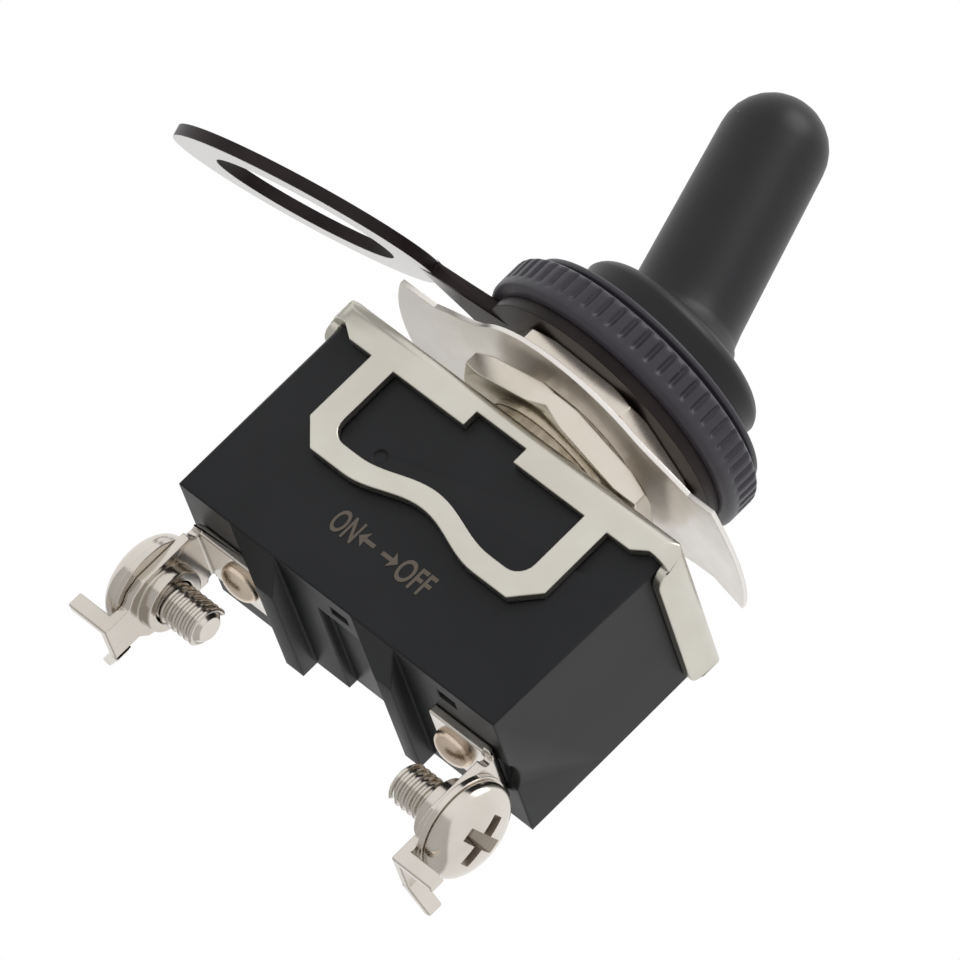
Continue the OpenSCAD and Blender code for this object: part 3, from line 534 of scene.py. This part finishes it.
def wingRow(share, drop):
    # points at a share of the way out from the bore, on the face that lies drop below the top
    points = []
    for i in range(wing["columns"]):
        angle = 360 * i / wing["columns"]
        r = wing["bore"] + (wingReach(angle) - wing["bore"]) * share
        x, y = r * math.cos(math.radians(angle)), r * math.sin(math.radians(angle))
        bend = max(0.0, (abs(x) - wing["flat"]) / (wing["tip"] - wing["flat"])) ** wing["curl"]
        points.append(Vector((x, y, wing["top"] - drop - wing["droop"] * bend)) * mm)
    return points


shares = [i / wing["rows"] for i in range(wing["rows"] + 1)]
wingLoops = [wingRow(share, 0) for share in shares]
wingLoops += [wingRow(share, wing["thickness"]) for share in shares[::-1]]
wingPlate = finishMesh(loopMesh(wingLoops), "wingPlate", finish["spring"])
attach(wingPlate, "housing")
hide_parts("wing_plate")
print("wing plate built")

# the boot's collar: chamfered foot, banded side, narrower flange ring on top of it

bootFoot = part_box("boot")[0].z / mm
collarSize = {
    "bore": 6.07, "foot": 11.2, "side": 12.1, "height": 3.3, "footRound": 0.65, "topRound": 0.6,
    "bandStart": 0.9, "bandStep": 0.2, "bands": 9, "ledgeRise": 0.1, "neck": 10.74,
    "neckRise": 0.26, "ring": 11.05, "ringRound": 0.25, "ringFoot": 0.62, "ringHeight": 0.95,
    "crown": 8.6, "crownRise": 0.05, "throat": 7.45, "columns": 540, "grooves": 60,
}
collarTop = bootFoot + collarSize["height"]
ringTop = collarTop + collarSize["ringHeight"]
footMiddle = (collarSize["side"] - collarSize["footRound"], bootFoot + collarSize["footRound"])
topMiddle = (collarSize["side"] - collarSize["topRound"], collarTop - collarSize["topRound"])
ringShoulder = collarSize["ring"] - collarSize["ringRound"]
crownTop = ringTop + collarSize["crownRise"]
collarOutline = [(collarSize["bore"], bootFoot), (collarSize["foot"], bootFoot)]
collarOutline += arcPoints(footMiddle, collarSize["footRound"], -75, 0, 4)
collarOutline += [
    (collarSize["side"], bootFoot + collarSize["bandStart"] + collarSize["bandStep"] * i)
    for i in range(collarSize["bands"])]
collarOutline += arcPoints(topMiddle, collarSize["topRound"], 0, 75, 5)
collarOutline += [
    (ringShoulder, collarTop + collarSize["ledgeRise"]),
    (collarSize["neck"], collarTop + collarSize["neckRise"])]
collarOutline += arcPoints(
    (ringShoulder, collarTop + collarSize["ringFoot"]), collarSize["ringRound"], -70, 0, 3)
collarOutline += arcPoints(
    (ringShoulder, ringTop - collarSize["ringRound"]), collarSize["ringRound"], 0, 80, 4)
collarOutline += [
    (collarSize["crown"], crownTop), (collarSize["throat"], crownTop),
    (collarSize["throat"], collarTop), (collarSize["bore"], collarTop)]
collar = finishMesh(
    lathe(collarOutline, collarSize["columns"]), "bootCollar", finish["collarRubberPaintedSheen"], 40)
grooveSize = {
    "Width": 0.2, "Depth": 0.34, "Softness": 0.22, "Fade": 0.4, "Middle": bootFoot + 2.1,
    "Half Height": 0.7, "Least Radius": 11.85,
}
grooveValues = {label: size * mm for label, size in grooveSize.items()}
grooveValues["Count"] = collarSize["grooves"]
grooveValues["Material"] = finish["collarRubberPaintedSheen"]
runTree(collar, grooveTree(), grooveValues)
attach(collar, "housing")
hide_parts("boot")

# the boot's bellows and the sleeve over the lever, one skin with its inside

# the saddle's rings have a share of the sleeve's offset, a radius and a dip below the top,
# the fillet's a radius and a height
boot = {
    "rim": 8.4, "top": bootFoot + 7.65, "foot": ringTop - 0.3, "round": 1.4, "draft": 0.06,
    "root": bootFoot + 5.5, "tipDistance": 26.65, "sleeveFoot": 4.5, "sleeveTip": 4.25,
    "filletShare": 0.06, "filletStart": 0.35, "leanShare": 0.6, "skirt": 0.7, "wall": 1.0,
    "roundWall": 0.9, "innerRim": 7.35, "innerFoot": 3.7, "innerDrop": 0.5,
    "columns": 96, "sleeveRings": 12, "domeRings": 8,
    "saddle": ((0.25, 6.6, 0.03), (0.5, 6.1, 0.15), (0.7, 5.6, 0.3), (0.9, 5.2, 0.28)),
    "fillet": ((4.8, 0.02), (4.62, 0.3), (4.52, 0.8)),
}
upright = Vector((0, 0, 1))
leverFoot = Vector((0, 0, 5 * mm))
tilt = math.radians(-13)
slideWay = Vector((math.sin(tilt), 0, math.cos(tilt)))
tipCentre = leverFoot + slideWay * (boot["tipDistance"] * mm)
rootCentre = upright * (boot["root"] * mm)
lean = (tipCentre - rootCentre).normalized()
footShare = (boot["top"] * mm - rootCentre.z) / (tipCentre.z - rootCentre.z)
foot = rootCentre.lerp(tipCentre, footShare)
rimMiddle = (boot["rim"] - boot["round"], boot["top"] - boot["round"])


def levelRings(points):
    # rings about the Z axis from (radius, height) points in mm
    return [(Vector((0, 0, h * mm)), upright, r * mm) for r, h in points]


def sleeveSkin(inset):
    # the sleeve's rings from above its fillet to the pole of its round tip, drawn in by inset
    skin = []
    start = footShare + boot["filletShare"]
    for i in range(1, boot["sleeveRings"] + 1):
        share = start + (1 - start) * i / boot["sleeveRings"]
        radius = boot["sleeveFoot"] + (boot["sleeveTip"] - boot["sleeveFoot"]) * share - inset
        skin.append((rootCentre.lerp(tipCentre, share), lean, radius * mm))
    tip = boot["sleeveTip"] - inset
    for i in range(1, boot["domeRings"]):
        angle = math.radians(90 * i / boot["domeRings"])
        centre = tipCentre + lean * math.sin(angle) * tip * mm
        skin.append((centre, lean, tip * math.cos(angle) * mm))
    skin.append((tipCentre + lean * tip * mm, lean, 0))
    return skin


outerSkin = levelRings([
    (boot["rim"] - boot["draft"] * (boot["top"] - h), h)
    for h in (boot["foot"], boot["foot"] + boot["skirt"], boot["top"] - boot["round"])])
outerSkin += levelRings(arcPoints(rimMiddle, boot["round"], 15, 90, 8))
for share, r, dip in boot["saddle"]:
    centre = Vector((foot.x * share, 0, (boot["top"] - dip) * mm))
    axis = upright.lerp(lean, share * boot["leanShare"]).normalized()
    outerSkin.append((centre, axis, r * mm))
for r, up in boot["fillet"]:
    outerSkin.append((foot + lean * (up + boot["filletStart"]) * mm, lean, r * mm))
outerSkin += sleeveSkin(0)
innerSkin = sleeveSkin(boot["wall"])[::-1]
innerSkin.append((foot - lean * boot["innerDrop"] * mm, lean, boot["innerFoot"] * mm))
innerSkin += levelRings(arcPoints(rimMiddle, boot["round"] - boot["roundWall"], 90, 0, 4))
innerSkin += levelRings([(boot["innerRim"], boot["foot"])])


def skinMesh(outer, inner):
    # closes the outer and inner skins at the foot, where both are open
    mesh = ringMesh(outer, boot["columns"], closed=False)
    lining = meshData(ringMesh(inner, boot["columns"], closed=False), "lining")
    mesh.from_mesh(lining)
    bpy.data.meshes.remove(lining)
    bmesh.ops.bridge_loops(mesh, edges=[edge for edge in mesh.edges if edge.is_boundary])
    bmesh.ops.recalc_face_normals(mesh, faces=mesh.faces)
    return mesh


sleeve = finishMesh(skinMesh(outerSkin, innerSkin), "bootSleeve", finish["rubber"], 50)
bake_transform(sleeve)
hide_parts("boot")
print("boot built")

# the plunger's spring, carried on the lever; the shortening of the real spring as the plunger
# slides in is not made

spring = finishMesh(mergedMesh("plunger_spring", 0.01), "plungerSpring", finish["steel"])
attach(spring, "lever")
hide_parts("plunger_spring")
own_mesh(spring)
print("spring built")

# the bushing, then the screws with their threads and driver recesses

dressNode("bushing", "bushingFlange", finish["turned"], 0.06)
print("bushing built")

# the recess's two ends are a height, an arm's half width and its reach
screwSize = {
    "headRadius": 4.0, "headHeight": 2.0, "rimShare": 0.22, "roundness": 0.75, "rimRound": 0.12,
    "shank": 1.52, "taper": 0.02, "length": 6.1, "point": 0.5, "columns": 72, "domeSteps": 14,
    "recess": ((0.5, 0.345, 0.736), (2.4, 0.644, 2.76)), "recessTurn": 22,
    "wallReach": 2.9, "wallFoot": 0.45, "wallTop": 0.04, "ridgeStart": -5.9,
}
threadSize = {"Outer Radius": 1.73, "Pitch": 0.6, "Length": 5.4, "Ridge": 0.2}


def domeHeight(radius):
    # how high the pan head stands above its seat at a radius
    hollow = (radius / screwSize["headRadius"]) ** (2 / screwSize["roundness"])
    rim = screwSize["rimShare"]
    return screwSize["headHeight"] * (rim + (1 - rim) * math.sqrt(1 - hollow))


def screwCore():
    # pan head on a shank, along +Z, the head's seat at 0
    shank, length, point = screwSize["shank"], screwSize["length"], screwSize["point"]
    rim, steps = screwSize["rimRound"], screwSize["domeSteps"]
    edge = screwSize["headRadius"] - rim
    outline = [
        (0, -length), (shank - point, -length), (shank - screwSize["taper"], point - length),
        (shank, 0), (edge, 0)]
    outline += arcPoints((edge, rim), rim, -60, 0, 3)
    for i in range(steps):
        slope = math.cos(math.radians(90 * i / steps)) ** screwSize["roundness"]
        radius = screwSize["headRadius"] * slope
        outline.append((radius, domeHeight(radius)))
    outline.append((0, screwSize["headHeight"]))
    return lathe(outline, screwSize["columns"], closed=False)


def recessCutter():
    # one cross-shaped plug with sloping flanks, for the driver
    mesh = bmesh.new()
    ends = []
    for height, half, reach in screwSize["recess"]:
        corners = []
        for quarter in range(4):
            c, d = math.cos(quarter * math.pi / 2), math.sin(quarter * math.pi / 2)
            corners += [(x * c - y * d, x * d + y * c)
                        for x, y in ((half, half), (half, reach), (-half, reach))]
        ends.append([mesh.verts.new((x * mm, y * mm, height * mm)) for x, y in corners])
    foot, mouth = ends
    mesh.faces.new(foot[::-1])
    mesh.faces.new(mouth)
    for i in range(len(foot)):
        j = (i + 1) % len(foot)
        mesh.faces.new([foot[i], foot[j], mouth[j], mouth[i]])
    bmesh.ops.recalc_face_normals(mesh, faces=mesh.faces)
    return mesh


def cutWith(piece, cutterMesh):
    # takes the cutter out of the piece
    cutter = link(bpy.data.objects.new("cutter", meshData(cutterMesh, "cutter")))
    modifier = piece.modifiers.new("cut", "BOOLEAN")
    modifier.operation = "DIFFERENCE"
    modifier.object = cutter
    modifier.solver = "EXACT"
    data = evaluatedData(piece)
    piece.modifiers.remove(modifier)
    piece.data = data
    bpy.data.objects.remove(cutter)
    smoothData(data, 35)


def paintRecessShade(piece):
    # gives the walls of the recess, which lie under the dome, a darker, rougher copy of the
    # plating as painted shade
    piece.data.materials.append(finish["recess"])
    for face in piece.data.polygons:
        reach, height = math.hypot(face.center.x, face.center.y) / mm, face.center.z / mm
        if reach < screwSize["wallReach"] and height > screwSize["wallFoot"]:
            if height < domeHeight(reach) - screwSize["wallTop"]:
                face.material_index = len(piece.data.materials) - 1


thread = threadTree()
threadValues = {label: size * mm for label, size in threadSize.items()}
threadValues["Material"] = finish["terminal"]
headHeight = screwSize["headHeight"] * mm
ridgeStart = Matrix.Translation((0, 0, screwSize["ridgeStart"] * mm))
for side, label in ((-1, "left"), (1, "right")):
    nodeName = "terminal_screw_" + label
    low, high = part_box(nodeName)
    seat = (high.x - headHeight) if side > 0 else (low.x + headHeight)
    axisPoint = Vector((seat, 0, (low.z + high.z) / 2))
    turn = Matrix.Rotation(math.radians(90 * side), 4, "Y")
    screw = finishMesh(screwCore(), "screw" + label.capitalize(), finish["terminal"], 35)
    cutWith(screw, recessCutter())
    screw.data.transform(Matrix.Rotation(math.radians(screwSize["recessTurn"]), 4, "Z"))
    screw.data.transform(ridgeStart.inverted())
    runTree(screw, thread, threadValues)
    screw.data.transform(ridgeStart)
    paintRecessShade(screw)
    screw.data.transform(Matrix.Translation(axisPoint) @ turn)
    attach(screw, frame["nodes"][nodeName]["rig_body"])
    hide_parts(nodeName)
print("screws built")

# the terminals' rivets: a domed foot, a shank and a flared top

rivetSize = {
    "dome": 1.75, "domeHeight": 1.1, "bulge": 0.8, "shank": 1.3, "flare": 1.9, "top": 1.8,
    "topHeight": 0.8, "domeSteps": 10, "columns": 64,
}
for side, label in ((-1, "left"), (1, "right")):
    nodeName = "terminal_rivet_" + label
    low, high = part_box(nodeName)
    top = high.z / mm
    brim, flare = low.z / mm + rivetSize["domeHeight"], top - rivetSize["topHeight"]
    outline = [(0, low.z / mm)]
    for i in range(1, rivetSize["domeSteps"] + 1):
        angle = math.radians(90 * i / rivetSize["domeSteps"])
        sag = rivetSize["domeHeight"] * math.cos(angle) ** rivetSize["bulge"]
        outline.append((rivetSize["dome"] * math.sin(angle), brim - sag))
    outline += [
        (rivetSize["shank"], brim), (rivetSize["shank"], flare), (rivetSize["flare"], flare),
        (rivetSize["top"], top), (0, top)]
    rivet = finishMesh(lathe(outline, rivetSize["columns"], closed=False),
                       "rivet" + label.capitalize(), finish["rivet"], 40)
    rivet.data.transform(Matrix.Translation(((low.x + high.x) / 2, 0, 0)))
    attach(rivet, "housing")
    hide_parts(nodeName)
print("rivets built")

# marks on the front

# a word has its place and width, an arrow its direction and place
markSize = {
    "height": 2.0, "foot": -15.05, "gap": 0.012, "draft": 0.25, "thickness": 0.008,
    "weight": 0.035, "words": (("ON", -3.85, 2.4), ("OFF", 3.18, 3.15)),
    "arrows": ((-1, -1.75), (1, 0.62)), "arrowLength": 1.6, "arrowHead": 0.62,
    "arrowTall": 1.38, "arrowStem": 0.34, "barb": 1.1,
}
lowCase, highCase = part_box("case")


def frontDepth(z):
    # the front wall's Y at height z, drawn in towards the foot
    down = (highCase.z / mm - z) / (highCase.z / mm - lowCase.z / mm)
    return lowCase.y / mm + markSize["draft"] * down


def textMesh(body, width, height):
    # a text curve as plain mesh in the XY plane, brought to a width and a height, foot at y = 0
    curve = bpy.data.curves.new("mark", "FONT")
    curve.body = body
    curve.size = height * mm
    curve.extrude = markSize["thickness"] / 2 * mm
    curve.offset = markSize["weight"] * mm
    holder = link(bpy.data.objects.new("mark", curve))
    mesh = evaluatedData(holder)
    bpy.data.objects.remove(holder)
    xs = [v.co.x for v in mesh.vertices]
    ys = [v.co.y for v in mesh.vertices]
    across, tall = width * mm / (max(xs) - min(xs)), height * mm / (max(ys) - min(ys))
    centred = Matrix.Translation((-(min(xs) + max(xs)) / 2, -min(ys), 0))
    mesh.transform(Matrix.Diagonal((across, tall, 1, 1)) @ centred)
    return mesh


def arrowMesh(direction):
    # a flat arrow along X with its tip towards direction
    tip, head, stem = markSize["arrowLength"] / 2, markSize["arrowHead"], markSize["arrowStem"]
    lower = [(-tip, -stem / 2), (tip - head, -stem / 2),
             (tip - head * markSize["barb"], -markSize["arrowTall"] / 2)]
    points = lower + [(tip, 0)] + [(x, -y) for x, y in lower[::-1]]
    mesh = bmesh.new()
    face = mesh.faces.new([mesh.verts.new((x * direction * mm, y * mm, 0)) for x, y in points])
    grown = bmesh.ops.extrude_face_region(mesh, geom=[face])
    for item in grown["geom"]:
        if isinstance(item, bmesh.types.BMVert):
            item.co.z -= markSize["thickness"] * mm
    bmesh.ops.recalc_face_normals(mesh, faces=mesh.faces)
    return meshData(mesh, "arrow")


height, foot = markSize["height"], markSize["foot"]
row = [(textMesh(body, width, height), x, foot) for body, x, width in markSize["words"]]
row += [(arrowMesh(way), x, foot + height / 2) for way, x in markSize["arrows"]]
front = frontDepth(foot + height / 2) - markSize["gap"]
upFront = Matrix.Rotation(math.radians(90), 4, "X")
marks = bmesh.new()
for mesh, x, z in row:
    mesh.transform(Matrix.Translation((x * mm, front * mm, z * mm)) @ upFront)
    marks.from_mesh(mesh)
    bpy.data.meshes.remove(mesh)
printed = finishMesh(marks, "onOffMarks", finish["ink"])
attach(printed, "housing")
print("marks placed")

# camera, light, floor

scene = bpy.context.scene


def placed(name, data, origin, right, up):
    # an object that looks along -Z of the frame made by right and up
    turn = Matrix((right, up, right.cross(up))).transposed().to_4x4()
    item = link(bpy.data.objects.new(name, data))
    item.matrix_world = Matrix.Translation(origin) @ turn
    return item


lens = bpy.data.cameras.new("camera")
lens.lens = 400
lens.sensor_width = 36
lens.clip_start = 0.01
lens.clip_end = 10
viewRight = Vector((0.69776, 0.19062, 0.69050)).normalized()
viewUp = Vector((-0.52728, -0.51581, 0.67521))
viewUp = (viewUp - viewRight * viewUp.dot(viewRight)).normalized()
viewBack = viewRight.cross(viewUp)
viewPoint = Vector((372.635, -647.482, -203.994)) * mm
scene.camera = placed("camera", lens, viewPoint, viewRight, viewUp)

# each lamp stands off the middle, in metres across, above and towards the camera, and is square
middle = Vector((-0.43, -4.86, -4.41)) * mm
lampPower = 2.4
lamps = {"keySoftbox": (0.54, 0.58, 0.1, 0.5), "fillSoftbox": (-0.62, -0.3, 0.72, 0.8)}
for name, (across, above, towards, size) in lamps.items():
    offset = viewRight * across + viewUp * above + viewBack * towards
    lamp = bpy.data.lights.new(name, "AREA")
    lamp.size = size
    lamp.energy = lampPower
    back = offset.normalized()
    side = viewUp.cross(back).normalized()
    placed(name, lamp, middle + offset, side, back.cross(side))

# a soft white room, at full white where the camera, reflections or clear pieces show it
world = bpy.data.worlds.new("studio")
scene.world = world
world.use_nodes = True
tree = world.node_tree
tree.nodes.clear()
path = addNode(tree, "ShaderNodeLightPath")
direct = addNode(tree, "ShaderNodeMath", {
    0: path.outputs["Is Camera Ray"], 1: path.outputs["Is Transmission Ray"]},
    operation="MAXIMUM")
shown = addNode(tree, "ShaderNodeMath", {0: direct.outputs[0], 1: path.outputs["Is Glossy Ray"]},
                operation="MAXIMUM")
soft = addNode(tree, "ShaderNodeBackground", {"Color": (1, 1, 1, 1), "Strength": 0.45})
white = addNode(tree, "ShaderNodeBackground", {"Color": (1, 1, 1, 1), "Strength": 1.0})
pick = addNode(tree, "ShaderNodeMixShader", {
    0: shown.outputs[0], 1: soft.outputs[0], 2: white.outputs[0]})
addNode(tree, "ShaderNodeOutputWorld", {"Surface": pick.outputs[0]})

# matt white paper, which fades into the room behind it
paper, _, paperShader = newMaterial("whitePaper", Roughness=0.9)
paperShader.inputs["Base Color"].default_value = linearColor("#f4f4f2")
floorHalf, floorLevel = 0.6, -0.26
floorMesh = bmesh.new()
bmesh.ops.create_grid(floorMesh, x_segments=1, y_segments=1, size=floorHalf)
bmesh.ops.translate(floorMesh, verts=floorMesh.verts, vec=(0, 0, floorLevel))
floor = finishMesh(floorMesh, "floor", paper)

scene.view_settings.view_transform = "Standard"
print("scene ready")
